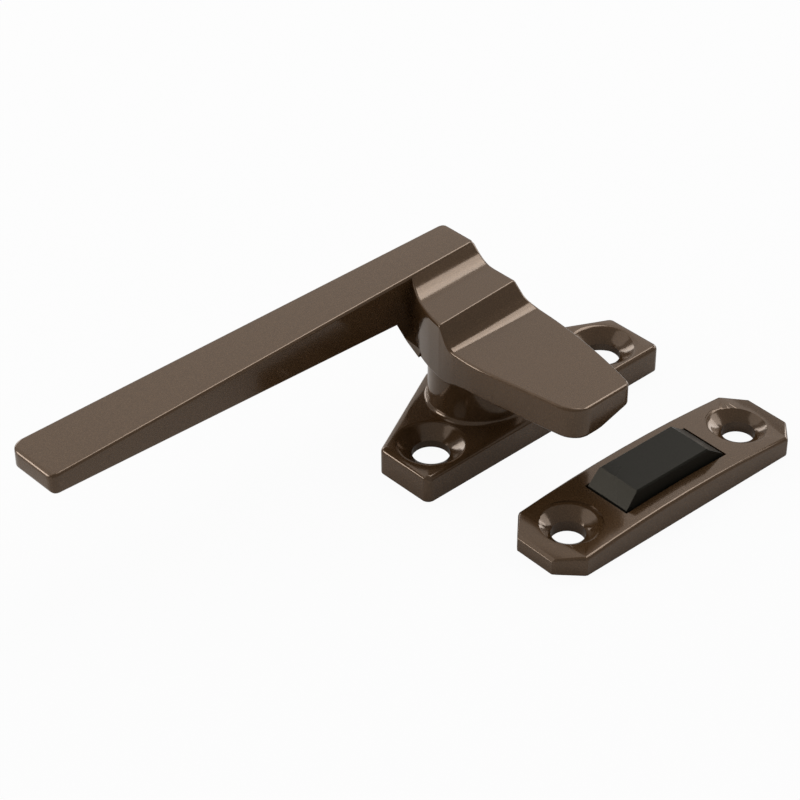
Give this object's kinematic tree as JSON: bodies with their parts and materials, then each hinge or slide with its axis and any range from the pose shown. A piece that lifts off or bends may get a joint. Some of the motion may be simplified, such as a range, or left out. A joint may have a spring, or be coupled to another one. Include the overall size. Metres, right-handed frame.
{
  "type": "casement window handle",
  "caption": "Casement window locking handle on an offset base, with its keeper and black insert.",
  "frame": {"origin": "midway between the base's two screw holes, on the mounting plane", "axes": "+X along the base and the closed lever, from its free end to its head; +Z away from the mounting plane; the locking tongue points to -Y"},
  "size_m": [0.1085, 0.0573, 0.0248],
  "materials": {
    "painted_casting": "semi-gloss",
    "spring_steel": "satin",
    "plated_steel": "satin",
    "black_nylon": "satin"
  },
  "bodies": {
    "mounting": {"base": "painted_casting", "wave_washer": "spring_steel", "keeper_plate": "painted_casting", "keeper_insert": "black_nylon"},
    "lever": {"handle": "painted_casting", "flat_washer": "plated_steel"}
  },
  "joints": [
    {"name": "handle_turn", "type": "hinge", "parent": "mounting", "child": "lever", "pos_m": [-0.0052, 0.004, 0], "axis": [0, 0, -1], "range_deg": [0, 90]}
  ]
}
